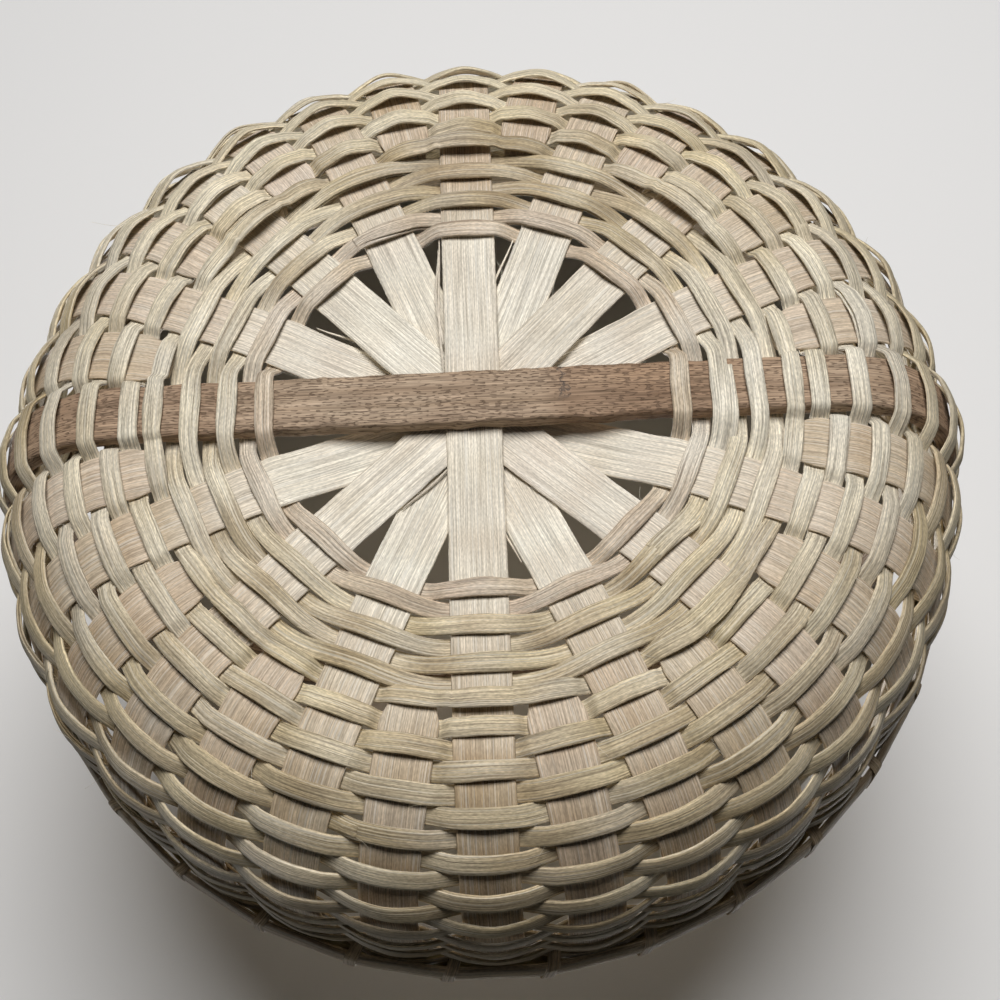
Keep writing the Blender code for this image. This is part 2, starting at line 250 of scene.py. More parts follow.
class Strip:
    """A strip swept through centres.

    Its width axis is one for all of them or one for each, and outwards is forward x width axis.
    Its grain holds distance along, across and through the strip, and its tone has three columns a
    station, which each material reads in its own way.
    """

    def __init__(
        self, centres, width_axes, width, thickness, section, seed, tone, closed=False, shift=0.0
    ):
        count = len(centres)
        if closed:
            forward = unit(np.roll(centres, -1, 0) - np.roll(centres, 1, 0))
        else:
            forward = unit(np.gradient(centres, axis=0))
        across = unit(width_axes - (width_axes * forward).sum(1, keepdims=True) * forward)
        outwards = np.cross(forward, across)
        sizes = (width, thickness, shift)
        width, thickness, shift = (np.broadcast_to(size, count)[:, None] for size in sizes)
        profile = np.array(section, float)
        sides = len(profile)
        u = profile[:, 0] * width / 2
        v = profile[:, 1] * thickness / 2 + shift
        sideways = u[..., None] * across[:, None, :]
        points = centres[:, None, :] + sideways + v[..., None] * outwards[:, None, :]
        along = distances(centres, closed)
        wrap = np.arange(len(along)) % count
        reading = np.repeat(along[:, None] + seed * SEED_ALONG, sides, 1)
        grain = np.stack([reading, u[wrap], v[wrap] + seed * SEED_THROUGH], -1)
        tone = np.broadcast_to(tone, (count, 3))[wrap]
        i, j = np.meshgrid(np.arange(len(along) - 1), np.arange(sides), indexing="ij")
        rows = np.stack([i, i + 1, i + 1, i], -1).reshape(-1, 4)
        columns = np.stack([j, j, j + 1, j + 1], -1).reshape(-1, 4)
        self.points = points.reshape(-1, 3)
        self.loops = ((rows % count) * sides + columns % sides).ravel()
        self.grain = grain[rows.ravel(), (columns % sides).ravel()]
        self.tone = tone[rows.ravel()]
        self.sizes = np.full(len(rows), 4)
        self.along, self.around = along, distances(np.stack([u[0], v[0]], -1), True)
        self.rows, self.columns = rows, columns
        self.caps = []
        if not closed:
            first = np.arange(sides)
            last = (count - 1) * sides + first[::-1]
            self.loops = np.concatenate([self.loops, first, last])
            self.grain = np.concatenate([self.grain, grain[0], grain[-1][::-1]])
            self.tone = np.concatenate([self.tone, np.repeat(tone[[0, -1]], sides, 0)])
            self.sizes = np.concatenate([self.sizes, [sides, sides]])
            cap = profile * (width[0, 0] / 2, thickness[0, 0] / 2)
            self.caps = [cap, cap[::-1]]


# Gaps and spare room in the flat map, and its free edge as a share
BAKE_GAP = 1.0 * MM
BAKE_MARGIN = 8 * MM
BAKE_SPARE = 1.03
BAKE_EDGE_SHARE = 0.001


def bake_map(strips):
    """Lays the strips out flat, in lanes that fill the unit square without overlapping."""
    total = 0.0
    for strip in strips:
        total += strip.along[-1] + 2 * BAKE_GAP + sum(2 * cap[:, 1].max() for cap in strip.caps)
    lane = max(strip.around[-1] for strip in strips) + BAKE_GAP
    length = math.sqrt(total * lane) * BAKE_SPARE + BAKE_MARGIN
    x, y, spots = 0.0, 0.0, []
    for strip in strips:
        origin = np.zeros((len(strip.along) - 1, 2))
        for index, place in enumerate(strip.along[:-1]):
            step = strip.along[index + 1] - place
            if x + step + BAKE_GAP > length:
                x, y = 0.0, y + lane
            # The next station begins where this one ends, unless its lane is full.
            origin[index] = x - place, y
            x += step
        x += BAKE_GAP
        origin = origin[strip.rows[:, 0]]
        u = strip.along[strip.rows] + origin[:, :1]
        v = strip.around[strip.columns] + origin[:, 1:]
        spots.append(np.stack([u, v], -1).reshape(-1, 2))
        for cap in strip.caps:
            tall = cap[:, 1].max() * 2
            if x + tall + BAKE_GAP > length:
                x, y = 0.0, y + lane
            u, v = cap[:, 1] + tall / 2 + x, cap[:, 0] - cap[:, 0].min() + y
            spots.append(np.stack([u, v], -1))
            x += tall + BAKE_GAP
    size = max(length, y + lane)
    return np.concatenate(spots) / size * (1 - 2 * BAKE_EDGE_SHARE) + BAKE_EDGE_SHARE


def starts(sizes):
    return np.concatenate([[0], np.cumsum(sizes)[:-1]]).astype(np.int32)


def joined_mesh(name, strips):
    """One mesh of all the strips, with what the materials read at each corner."""
    firsts = starts([len(strip.points) for strip in strips])
    points = np.concatenate([strip.points for strip in strips])
    loops = np.concatenate([strip.loops + first for strip, first in zip(strips, firsts)])
    sizes = np.concatenate([strip.sizes for strip in strips])
    mesh = bpy.data.meshes.new(name)
    mesh.vertices.add(len(points))
    mesh.vertices.foreach_set("co", points.reshape(-1))
    mesh.loops.add(len(loops))
    mesh.loops.foreach_set("vertex_index", loops.astype(np.int32))
    mesh.polygons.add(len(sizes))
    mesh.polygons.foreach_set("loop_start", starts(sizes))
    mesh.update(calc_edges=True)
    mesh.polygons.foreach_set("use_smooth", sizes == 4)
    for label in ("grain", "tone"):
        values = np.concatenate([getattr(strip, label) for strip in strips])
        held = mesh.attributes.new(label, "FLOAT_VECTOR", "CORNER")
        held.data.foreach_set("vector", np.ascontiguousarray(values, np.float32).ravel())
    flat = mesh.uv_layers.new(name="OFBake")
    flat.data.foreach_set("uv", np.ascontiguousarray(bake_map(strips), np.float32).ravel())
    mesh.validate()
    return mesh


# Materials


# Most of a noise's values lie between these two.
NOISE_LOW = 0.3
NOISE_HIGH = 0.7

# In a metre across a strip: fine fibres, and the thin dark lines between bundles of them
FIBRES = 2300.0
LINES = 1150.0


class Tree:
    """Builds one material's nodes. Noise scales are waves a metre along, across and through."""

    def __init__(self, name):
        self.material = bpy.data.materials.new(name)
        self.material.use_nodes = True
        self.nodes = self.material.node_tree.nodes
        self.links = self.material.node_tree.links
        self.shader = self.nodes["Principled BSDF"]

    def node(self, kind, inputs=(), **settings):
        made = self.nodes.new(kind)
        for key, value in settings.items():
            setattr(made, key, value)
        for key, value in dict(inputs).items():
            if isinstance(value, bpy.types.NodeSocket):
                self.links.new(value, made.inputs[key])
            else:
                made.inputs[key].default_value = value
        return made.outputs

    def attribute(self, name):
        return self.node("ShaderNodeAttribute", attribute_name=name)["Vector"]

    def parts(self, vector):
        return self.node("ShaderNodeSeparateXYZ", {0: vector})

    def vector_math(self, operation, a, b):
        return self.node("ShaderNodeVectorMath", {0: a, 1: b}, operation=operation)[0]

    def noise(self, vector, along, across, through=None, detail=1.0, roughness=0.5, shift=0.0):
        if shift:
            vector = self.vector_math("ADD", vector, (shift, shift, shift))
        scale = (along, across, across if through is None else through)
        vector = self.vector_math("MULTIPLY", vector, scale)
        settings = {"Vector": vector, "Scale": 1.0, "Detail": detail, "Roughness": roughness}
        return self.node("ShaderNodeTexNoise", settings)[0]

    def math(self, operation, a, b=0.0, clamp=False):
        return self.node("ShaderNodeMath", {0: a, 1: b}, operation=operation, use_clamp=clamp)[0]

    def clamped(self, value):
        return self.math("ADD", value, 0.0, clamp=True)

    def weighed(self, *terms):
        """The sum of values, each times its weight."""
        total = 0.0
        for value, weight in terms:
            total = self.math("ADD", total, self.math("MULTIPLY", value, weight))
        return total

    def spread(self, value, low, high, new_low=0.0, new_high=1.0):
        """The value moved from one range to another, and held inside it."""
        ends = {"From Min": low, "From Max": high, "To Min": new_low, "To Max": new_high}
        return self.node("ShaderNodeMapRange", {"Value": value, **ends}, clamp=True)[0]

    def swing(self, noise, new_low=0.0, new_high=1.0):
        return self.spread(noise, NOISE_LOW, NOISE_HIGH, new_low, new_high)

    def mix(self, share, a, b, blend="MIX"):
        a, b = (x if isinstance(x, bpy.types.NodeSocket) else (*x, 1.0) for x in (a, b))
        settings = {"data_type": "RGBA", "blend_type": blend}
        return self.node("ShaderNodeMix", {0: share, 6: a, 7: b}, **settings)[2]

    def lit(self, color, light):
        """The colour made darker or lighter by a factor."""
        grey = self.node("ShaderNodeCombineXYZ", {0: light, 1: light, 2: light})[0]
        return self.mix(1.0, color, grey, "MULTIPLY")

    def finish(self, color, roughness, height, distance, specular=0.35):
        self.links.new(color, self.shader.inputs["Base Color"])
        self.links.new(roughness, self.shader.inputs["Roughness"])
        self.shader.inputs["Specular IOR Level"].default_value = specular
        bump = self.node("ShaderNodeBump", {"Height": height, "Strength": 1.0, "Distance": distance})
        self.links.new(bump["Normal"], self.shader.inputs["Normal"])
        return self.material


def reed_material(name, pale, dark, pink, bleached, line, contrast, banding, cracking, relief):
    """Split rattan reed. Tone's x is darkness, y is how pink it is and z how bleached.

    Contrast, banding and cracking are the strengths of the fine fibres, of the wider bands and of
    the thin dark lines between fibres.
    """
    tree = Tree(name)
    grain = tree.attribute("grain")
    darkness, pinkness, bleaching = tree.parts(tree.attribute("tone"))
    fine = tree.noise(grain, 40.0, FIBRES, roughness=0.4)
    grit = tree.noise(grain, 650.0, FIBRES)
    bands = tree.noise(grain, 4.0, 800.0, detail=0.0)
    streaks = tree.noise(grain, 9.0, 300.0)
    blotches = tree.noise(grain, 34.0, 60.0)
    sway = tree.noise(grain, 5.0, 420.0, shift=1.9)
    faded = tree.noise(grain, 30.0, 1400.0, shift=5.3)
    shine = tree.noise(grain, 14.0, FIBRES, detail=0.0, shift=3.7)
    streaky = tree.swing(streaks, -2 * banding, 2 * banding)
    uneven = tree.math("ADD", streaky, tree.swing(blotches, -0.12, 0.12))
    color = tree.mix(tree.math("ADD", uneven, darkness, clamp=True), pale, dark)
    color = tree.mix(tree.clamped(pinkness), color, pink)
    color = tree.mix(tree.clamped(bleaching), color, bleached)
    light = tree.swing(fine, 1.0 - contrast, 1.0 + contrast)
    light = tree.math("MULTIPLY", light, tree.swing(bands, 1.0 - banding, 1.0 + banding * 0.7))
    gritty = tree.swing(grit, 1.0 - contrast * 0.6, 1.0 + contrast * 0.6)
    color = tree.lit(color, tree.math("MULTIPLY", gritty, light))
    color = tree.mix(tree.spread(shine, 0.6, 0.68, 0.0, 0.3), color, bleached)
    # Thin dark lines run along the strip at uneven distances.
    _, across, through = tree.parts(grain)
    wave = tree.math("MULTIPLY", tree.math("ADD", across, through), LINES * math.pi)
    wave = tree.math("ADD", wave, tree.spread(sway, 0.25, 0.75, -5.0, 5.0))
    crack = tree.spread(tree.math("ABSOLUTE", tree.math("SINE", wave)), 0.0, 0.5, 1.0, 0.0)
    strength = tree.spread(faded, 0.38, 0.62, 0.12 * cracking, cracking)
    crack = tree.math("MULTIPLY", crack, strength)
    color = tree.mix(crack, color, line)
    height = tree.weighed((fine, 0.7), (bands, 0.4), (crack, -0.6))
    return tree.finish(color, tree.swing(fine, 0.72, 0.5), height, relief)


def oak_material(name):
    """Rough sawn brown oak: streaks along it, short dark pores, saw marks across and dirt.

    Tone's x is how brown it is, and its y runs from -1 to 1 across the place of a dark broken
    line, which shows on the half towards -Y.
    """
    grey_pale, grey_dark = (0.47, 0.365, 0.265), (0.31, 0.225, 0.15)
    brown_pale, brown_dark = (0.345, 0.225, 0.14), (0.21, 0.13, 0.078)
    dirt_color, pore_color = (0.22, 0.145, 0.095), (0.085, 0.05, 0.03)
    stain_color = (0.06, 0.05, 0.045)
    tree = Tree(name)
    grain = tree.attribute("grain")
    brownness, from_line, _ = tree.parts(tree.attribute("tone"))
    rings = tree.noise(grain, 7.0, 420.0, 300.0, detail=3.0, roughness=0.6)
    fine = tree.noise(grain, 60.0, 2100.0)
    pores = tree.noise(grain, 420.0, 1900.0, detail=0.0)
    crowd = tree.noise(grain, 25.0, 160.0, detail=2.0)
    marks = tree.noise(grain, 900.0, 60.0, detail=2.0)
    dirt = tree.noise(grain, 35.0, 110.0, detail=4.0, roughness=0.65)
    sway = tree.noise(grain, 260.0, 330.0, 0.0, detail=3.0, roughness=0.65)
    color = tree.mix(tree.swing(rings), grey_pale, grey_dark)
    browner = tree.mix(tree.spread(rings, 0.35, 0.65), brown_pale, brown_dark)
    color = tree.mix(tree.clamped(brownness), color, browner)
    color = tree.mix(tree.spread(dirt, 0.45, 0.7, 0.0, 0.5), color, dirt_color)
    color = tree.lit(color, tree.swing(fine, 0.62, 1.38))
    pore = tree.spread(tree.math("ADD", pores, tree.swing(crowd, -0.09, 0.06)), 0.6, 0.66)
    color = tree.mix(tree.math("MULTIPLY", pore, 0.58), color, pore_color)
    bent = tree.math("MULTIPLY", tree.math("SUBTRACT", sway, 0.5), 1.6)
    apart = tree.math("ABSOLUTE", tree.math("ADD", from_line, bent))
    half = tree.spread(tree.parts(grain)[1], -4.0 * MM, -1.0 * MM)
    stain = tree.math("MULTIPLY", tree.spread(apart, 0.0, 0.12, 1.0, 0.0), half)
    color = tree.mix(tree.math("MULTIPLY", stain, 0.9), color, stain_color)
    height = tree.weighed((fine, 0.5), (marks, 0.35), (pore, -0.9))
    return tree.finish(color, tree.swing(fine, 0.8, 0.6), height, 0.35 * MM, specular=0.25)


def rush_material(name):
    """Twisted rush: dull green and tan strands."""
    tree = Tree(name)
    grain = tree.attribute("grain")
    strands = tree.noise(grain, 60.0, 1500.0, detail=3.0, roughness=0.6)
    patches = tree.noise(grain, 25.0, 200.0, detail=2.0)
    color = tree.mix(tree.swing(patches), (0.42, 0.35, 0.20), (0.29, 0.255, 0.135))
    color = tree.lit(color, tree.swing(strands, 0.55, 1.25))
    return tree.finish(color, tree.swing(strands, 0.9, 0.7), strands, 0.4 * MM, specular=0.2)


weaver_reed = reed_material(
    "weaver_reed", pale=(0.62, 0.53, 0.345), dark=(0.31, 0.235, 0.13), pink=(0.48, 0.385, 0.29),
    bleached=(0.74, 0.71, 0.62), line=(0.16, 0.11, 0.065),
    contrast=0.37, banding=0.03, cracking=0.54, relief=0.16 * MM,
)
spoke_reed = reed_material(
    "spoke_reed", pale=(0.69, 0.645, 0.535), dark=(0.39, 0.285, 0.165), pink=(0.58, 0.475, 0.39),
    bleached=(0.77, 0.755, 0.69), line=(0.27, 0.20, 0.13),
    contrast=0.27, banding=0.01, cracking=0.36, relief=0.1 * MM,
)
rim_reed = reed_material(
    "rim_reed", pale=(0.50, 0.40, 0.265), dark=(0.31, 0.22, 0.13), pink=(0.43, 0.335, 0.24),
    bleached=(0.62, 0.56, 0.46), line=(0.13, 0.09, 0.055),
    contrast=0.3, banding=0.04, cracking=0.6, relief=0.16 * MM,
)
oak = oak_material("oak")
rush = rush_material("rush")


# The weave


def is_handle(arm):
    return arm % HALF_TURN == 0


def is_inserted(arm):
    return arm % 2 == 1


def row_place(row):
    if row <= BASE_ROWS:
        return LAST_BASE_PLACE - BASE_PITCH * (BASE_ROWS - row)
    if row <= LAST_ROW:
        return FIRST_SIDE_PLACE + SIDE_PITCH * (row - BASE_ROWS - 1)
    return RIM_ROW_PLACE


def passes_outside(row, arm):
    """Whether a row runs over the outer face of an arm."""
    arm %= ARMS
    if row > BASE_ROWS:
        return is_inserted(arm) == (row % 2 == 1)
    if row == BASE_ROWS and is_inserted(arm):
        return True
    return (arm // 2) % 2 == (row + 1) % 2


def row_arms(row):
    return range(0, ARMS, 2 if row < BASE_ROWS else 1)


def bowl_points(angle, place, offset, corners=ARMS):
    """Points round the bowl: angle, distance along it, and offset outwards from it."""
    radius, height, slope = surface(place)
    reach = ring_reach(radius + offset * np.sin(slope), angle, corners)
    return round_points(reach, angle, height - offset * np.cos(slope))


def bowl_tangents(angle, place):
    slope = surface(place)[2]
    return round_points(np.cos(slope), angle, np.sin(slope))


# Rows: the strip's size, and its stations for each arm
REED_WIDTH = 6.6 * MM
REED_THICKNESS = 1.45 * MM
STRIP_STEPS = 24

# A row keeps a gap over the hoop and bites a little into the softer spokes.
HOOP_GAP = 0.06 * MM
SPOKE_BITE = 0.05 * MM

# The arc in which a row passes over an arm: its height, what that gains up the side and towards
# -Y, how it varies, its height over the hoop, and what row 7's long floats gain
ROW_BOW = 1.1 * MM
SIDE_BOW = 0.9 * MM
NORTH_BOW = 1.3 * MM
BOW_SHARES = (0.75, 1.25)
HOOP_BOW = (0.5 * MM, 0.9 * MM)
LOOSE_BOW = (1.6 * MM, 3.0 * MM)
# The arc's share of the way from arm to arm
ARC_SHARE = 0.94
LONG_ARC_SHARE = 2.2
# A float over neighbouring arms stands this much prouder between them.
FLOAT_RISE = 0.8 * MM

# Where a row's ends lie one on the other: arms past two steps, how much thinner each is, and how
# far from the middle in thicknesses, hidden and in sight
LAP_SPARE = 0.6
LAP_THINNING = 0.35
LAP_SHIFTS = (0.3, 0.46)

# Slips across, tilts, how widths vary all along and where frayed, and the lengths in which ends
# thin out, a point narrows and an end is frayed
ROW_SLIP = 0.35 * MM
ROW_TILT = 0.09
ROW_UNEVEN = 0.045
FRAYED_UNEVEN = 0.025
END_TAPER = (-4 * MM, 5 * MM)
POINT_TAPER = (-2 * MM, 24 * MM)
FRAYED_LENGTH = 3 * MM

# Loose fibres: their length on rows and on spokes, and their width
ROW_HAIRS = (3 * MM, 8 * MM)
SPOKE_HAIRS = (3 * MM, 11 * MM)
HAIR_WIDTHS = (0.09 * MM, 0.16 * MM)
# The short way along a spoke over which its direction is read
NUDGE = 1 * MM

# Strip ends in sight, on top of their row's other end, by row: arm, slip across and how pointed
SHOWN_STARTS = {
    2: (21.2, 0.3 * MM, 0.3), 7: (3.15, 2.8 * MM, 1.0), 8: (19.35, 0.4 * MM, 0.1),
    11: (29.4, 0.3 * MM, 0.3), 13: (9.35, 0.2 * MM, 0.4), 17: (13.4, -0.3 * MM, 0.2),
}
# One lies under the other end and shows beside it.
ASIDE_STARTS = {3: (-0.4, 2.5 * MM, 0.3)}


def hair(rng, root, direction, outwards, length):
    """A loose fibre that runs along a direction and curls away from it."""
    share = np.linspace(0, 1, 9)[:, None]
    bend = outwards * rng.uniform(0.2, 1.0) + rng.normal(0, 0.45, 3)
    curl = rng.normal(0, 0.25, 3)
    centres = root + length * (share * direction + 0.4 * share**2 * bend + share**3 * curl)
    axis = np.cross(direction, outwards)
    width = rng.uniform(*HAIR_WIDTHS) * (1 - 0.5 * share[:, 0])
    tone = (rng.uniform(-0.3, 0.5), 0.0, rng.uniform(0.0, 0.5))
    return Strip(centres, axis, width, width, HAIR, rng.uniform(0, 20), tone)


NO_HUB = 0
# Share of its height at the hub that a spoke still has, by distance along its arm
HUB_PLACES = (-1.0, 0.0, 11 * MM, 24 * MM, 48 * MM, 59 * MM, 69 * MM, 76 * MM, 86 * MM, 1.0)
HUB_SHARES = (1.0, 1.0, 0.87, 0.74, 0.44, 0.28, 0.13, 0.05, 0.0, 0.0)


def hub_level(arm):
    """An arm's place in the stack at the hub, counted from the outside, or NO_HUB."""
    arm %= HALF_TURN
    return LONG_SPOKE_ARMS.index(arm) + 1 if arm in LONG_SPOKE_ARMS else NO_HUB


def hub_heights(level, places):
    """How far inside the base a spoke lies: stacked at the hub, level with the rest further out."""
    if level == NO_HUB:
        return 0 * places
    lowest = HANDLE_FACE + CLEARANCE + SPOKE_FACE
    height = lowest + (level - 1) * (SPOKE_THICKNESS + CLEARANCE)
    return height * spline(HUB_PLACES, HUB_SHARES, places)


def quarters(angle):
    """How much an angle lies towards +Y, -Y, -X and the paler side between the last two."""
    south = np.sin(angle)
    west = np.maximum(-np.cos(angle), 0) ** 4
    pale_side = np.maximum(np.cos(angle - 1.25 * math.pi), 0) ** 8
    return south, np.maximum(-south, 0), west, pale_side


def reed_tone(dark, pink, bleached):
    return np.stack([dark, np.maximum(pink, 0), np.maximum(bleached, 0)], -1)


def row_tone(rng, row, angle):
    """How dark, pink and bleached a row is round the basket, in given shares."""
    south, north, west, pale_side = quarters(angle)
    sides = np.abs(np.cos(angle)) ** 6
    dark = 0.5 + rng.normal(0, 0.09) + wander(rng, 0.26, (1, 2, 7, 11, 19, 29), angle)
    dark += 0.1 * south * smoothstep(3, 12, row) - 0.08 * sides
    dark += 0.42 * north**8 * (2 < row < 9) + 0.16 * west - 0.25 * pale_side
    # Painted shade: from row 17 up, rows towards +Y are painted darker, where that side of the wall
    # lies in shade.
    dark += 0.45 * np.maximum(south, 0) * smoothstep(17, 22, row)
    # Painted light: from row 8 up, rows towards -Y are painted lighter, on the side that the light
    # falls on.
    dark -= 0.45 * north**2 * smoothstep(8, 12, row)
    pink = 0.08 + (0.75 if row <= 2 else 0.0) + wander(rng, 0.16, (2, 5, 9, 14), angle)
    bleached = 0.05 + wander(rng, 0.17, (3, 6, 13, 19), angle)
    bleached += (0.5 - 0.15 * west) * sides * (2 <= row <= 13)
    # Its last term makes those rows paler: partly a paler cream reed, partly painted light on the lit
    # side.
    bleached += 0.12 * pale_side + 0.16 * north**2 * smoothstep(8, 12, row)
    return reed_tone(dark, pink, bleached)


def row_bow(rng, row, arm):
    """How far a float stands off an arm's middle: more up the side and towards -Y."""
    north = max(0.0, -math.sin(arm * ARM_ANGLE))
    up = smoothstep(8, 17, row)
    bow = ROW_BOW + SIDE_BOW * up + NORTH_BOW * north * smoothstep(2, 8, row)
    return bow * rng.uniform(*BOW_SHARES)


def row_offset(rng, row, angle):
    """Offset of a row's centre line: from face to face of its arms, with an arc over each."""
    place = row_place(row)
    reach = surface(place)[0]
    arms = list(row_arms(row))
    span = (arms[1] - arms[0]) * ARM_ANGLE
    angles, offsets, arc = [], [], 0 * angle
    for arm, after in zip(arms, arms[1:] + [ARMS]):
        outside = passes_outside(row, arm)
        sign = 1 if outside else -1
        hoop = is_handle(arm) and row <= LAST_ROW
        if hoop:
            width, face = HANDLE_WIDTH, HANDLE_FACE + HOOP_GAP
        else:
            width, face = SPOKE_WIDTH, SPOKE_FACE - SPOKE_BITE
        if is_inserted(arm) and row <= BASE_ROWS:
            width = TIP_WIDTH
        edge = sign * (face + REED_THICKNESS / 2) - hub_heights(hub_level(arm), place)
        if hoop and row <= BASE_ROWS + 3:
            bow = rng.uniform(*HOOP_BOW)
        else:
            bow = row_bow(rng, row, arm) * (1.0 if sign > 0 else 0.6)
        centre = arm * ARM_ANGLE
        edge_angle = math.atan2(width / 2, reach)
        angles += [centre - edge_angle, centre + edge_angle]
        offsets += [edge, edge]
        if passes_outside(row, after) == outside:
            angles.append((arm + after) / 2 * ARM_ANGLE)
            offsets.append(edge + sign * FLOAT_RISE)
        reach_out = ARC_SHARE
        if row == BASE_ROWS and outside and not is_inserted(arm) and not hoop:
            # Row 7's long floats over three arms are the loosest.
            bow, reach_out = bow + rng.uniform(*LOOSE_BOW), LONG_ARC_SHARE
        apart = np.mod(angle - centre + math.pi, math.tau) - math.pi
        arc += sign * bow * np.cos(np.clip(apart / (reach_out * span), -0.5, 0.5) * math.pi) ** 2
    return round_spline(np.array(angles), np.array(offsets), angle, math.tau) + arc


def make_row(row, name):
    rng = np.random.default_rng(100 + row)
    place = row_place(row)
    arms = list(row_arms(row))
    step = arms[1] - arms[0]
    inside = [arm for arm in arms if not passes_outside(row, arm) and not is_handle(arm)]
    hidden = (inside[rng.integers(len(inside))] - 0.3, 0.0, 0.0)
    shown = row in SHOWN_STARTS
    start, slip_size, point = SHOWN_STARTS.get(row, ASIDE_STARTS.get(row, hidden))
    lap_arms = 2 * step + LAP_SPARE
    start_angle = start * ARM_ANGLE
    lap = lap_arms * ARM_ANGLE
    count = int(STRIP_STEPS * (ARMS + lap_arms))
    angle = np.linspace(start_angle, start_angle + math.tau + lap, count)
    offset = row_offset(rng, row, angle)
    # Begun and ended are 1 at the tips of the two ends.
    begun = 1 - smoothstep(0.6, 1.0, (angle - start_angle) / lap)
    ended = smoothstep(0.0, 0.35, (angle - start_angle - math.tau) / lap)
    top = 1 if shown else -1
    offset += top * (begun - ended) * REED_THICKNESS * LAP_SHIFTS[shown]
    thickness = REED_THICKNESS * (1 - LAP_THINNING * np.maximum(begun, ended))
    reach = surface(place)[0]
    run = (angle - start_angle) * reach
    left = (angle[-1] - angle) * reach
    thickness *= smoothstep(*END_TAPER, run) * smoothstep(*END_TAPER, left)
    slip = wander(rng, ROW_SLIP, (2, 3, 5, 8, 13), angle) + begun * slip_size
    centres = bowl_points(angle, place + slip, offset, len(arms))
    axes = bowl_tangents(angle, place)
    tilt = wander(rng, ROW_TILT, (5, 9, 16, 21, 32), angle)
    forward = unit(np.gradient(centres, axis=0))
    axes = axes * np.cos(tilt)[:, None] + np.cross(forward, axes) * np.sin(tilt)[:, None]
    # Rows are squeezed a little where they cross between arms.
    between = (1 - np.cos(ARMS / step * angle)) / 2
    narrowing = 0.1 if row <= BASE_ROWS else 0.02
    width = REED_WIDTH * (1 - narrowing * between)
    width *= 1 + wander(rng, ROW_UNEVEN, (3, 7, 12, 19, 41), angle)
    width *= 1 - point * (1 - smoothstep(*POINT_TAPER, run))
    width *= 1 + FRAYED_UNEVEN * rng.normal(0, 1, count) * (run < FRAYED_LENGTH)
    tone = row_tone(rng, row, angle)
    outwards = unit(np.cross(forward, axes))
    strips = [Strip(centres, axes, width, thickness, OVAL_REED, row * 0.37, tone)]
    for i in [0] * shown + list(rng.integers(0, count, 4)):
        side = rng.choice((-1, 1))
        root = centres[i] + axes[i] * side * width[i] * 0.47 + outwards[i] * REED_THICKNESS * 0.2
        facing = outwards[i] * (1 if offset[i] > 0 else -1) + axes[i] * side
        along = forward[i] * rng.choice((-1, 1))
        strips.append(hair(rng, root, along, facing, rng.uniform(*ROW_HAIRS)))
    add_piece(name + "_reed", strips, weaver_reed, [name])


# Spokes: thickness, stations, how far they give way to the rows, and where that begins before
# the first row and ends after the last
REED_SPOKE_THICKNESS = 1.25 * MM
SPOKE_STEP = 1.6 * MM
SPOKE_WAVE = 0.3 * MM
WAVE_LEAD = 12 * MM
WAVE_TAIL = 10 * MM

# Where a spoke turns from cream to tan, how much sooner towards -Y, and a darker patch there
CREAM_END = 60 * MM
TAN_START = 125 * MM
NORTH_TAN = 25 * MM
NORTH_PATCH = (66 * MM, 76 * MM)


def spoke_wave(arm, places):
    """Spokes give way to the rows: inwards under a row outside them, outwards between those."""
    rows = [r for r in range(1, RIM_ROW + 1) if arm % ARMS in row_arms(r)]
    knots = [row_place(r) for r in rows]
    waves = [-SPOKE_WAVE if passes_outside(r, arm) else SPOKE_WAVE for r in rows]
    knots = [0.0, knots[0] - WAVE_LEAD, *knots, knots[-1] + WAVE_TAIL]
    return spline(knots, [0.0, 0.0, *waves, 0.0], places)


def spoke_tone(rng, arm, places, along):
    """Cream at the hub, tan up the sides, more so towards +Y, in given shares."""
    south, north, west, pale_side = quarters(arm * ARM_ANGLE)
    up = smoothstep(CREAM_END, TAN_START - NORTH_TAN * north, places)
    tanned = 0.5 + 0.18 * max(south, 0.0) + 0.15 * west - 0.2 * pale_side
    dark = 0.16 + rng.normal(0, 0.06) + up * tanned
    dark += 0.2 * north**8 * smoothstep(*NORTH_PATCH, places)
    dark += wander(rng, 0.1, (7, 19, 31, 43), along * 10)
    pink = rng.uniform(0, 0.35) + up * (0.08 - 0.1 * south)
    pink += wander(rng, 0.1, (5, 17, 29), along * 10)
    bleached = 0.1 * (1 - up) + wander(rng, 0.07, (5, 11, 23), along * 10)
    return reed_tone(dark, pink, bleached)


def tangent(angle):
    """The direction round the basket at an angle."""
    return round_points(1.0, angle + math.pi / 2, 0.0)


# Splinters off a spoke's edge: hub level, arm and edge, and from where, to where and how far
# from it in millimetres
SPLINTERS = (
    (1, 24, -1, 8, 66, 1.1), (1, 24, -1, 24, 62, 2.0), (7, 18, 1, 34, 62, 1.6),
    (2, 12, -1, 16, 44, 0.9), (5, 6, 1, 22, 60, 0.5), (4, 26, -1, 30, 66, 1.2),
)


def spoke_path(arm, level, places):
    offset = spoke_wave(arm, places) - hub_heights(level, places)
    return bowl_points(arm * ARM_ANGLE, places, offset)


def spoke_hairs(rng, arm, level, low, number):
    """Loose fibres along an arm's edges, most of them near the hub."""
    hairs = []
    side_axis = tangent(arm * ARM_ANGLE)
    for _ in range(number):
        place = low + (SPOKE_END - low) * rng.uniform(0, 1) ** 1.7
        side = rng.choice((-1, 1))
        near = spoke_path(arm, level, np.array([place, place + NUDGE]))
        along = unit(near[1] - near[0]) * rng.choice((-1, 1))
        root = near[0] + side_axis * side * SPOKE_WIDTH * 0.49
        facing = side_axis * side + (0.0, 0.0, -0.5)
        hairs.append(hair(rng, root, along, facing, rng.uniform(*SPOKE_HAIRS)))
    return hairs


# A splinter's least gap to the spoke, its width and its thickness
SPLINTER_GAP = 0.35 * MM
SPLINTER_WIDTHS = (0.7 * MM, 1.0 * MM)
SPLINTER_THICKNESS = 0.6 * MM


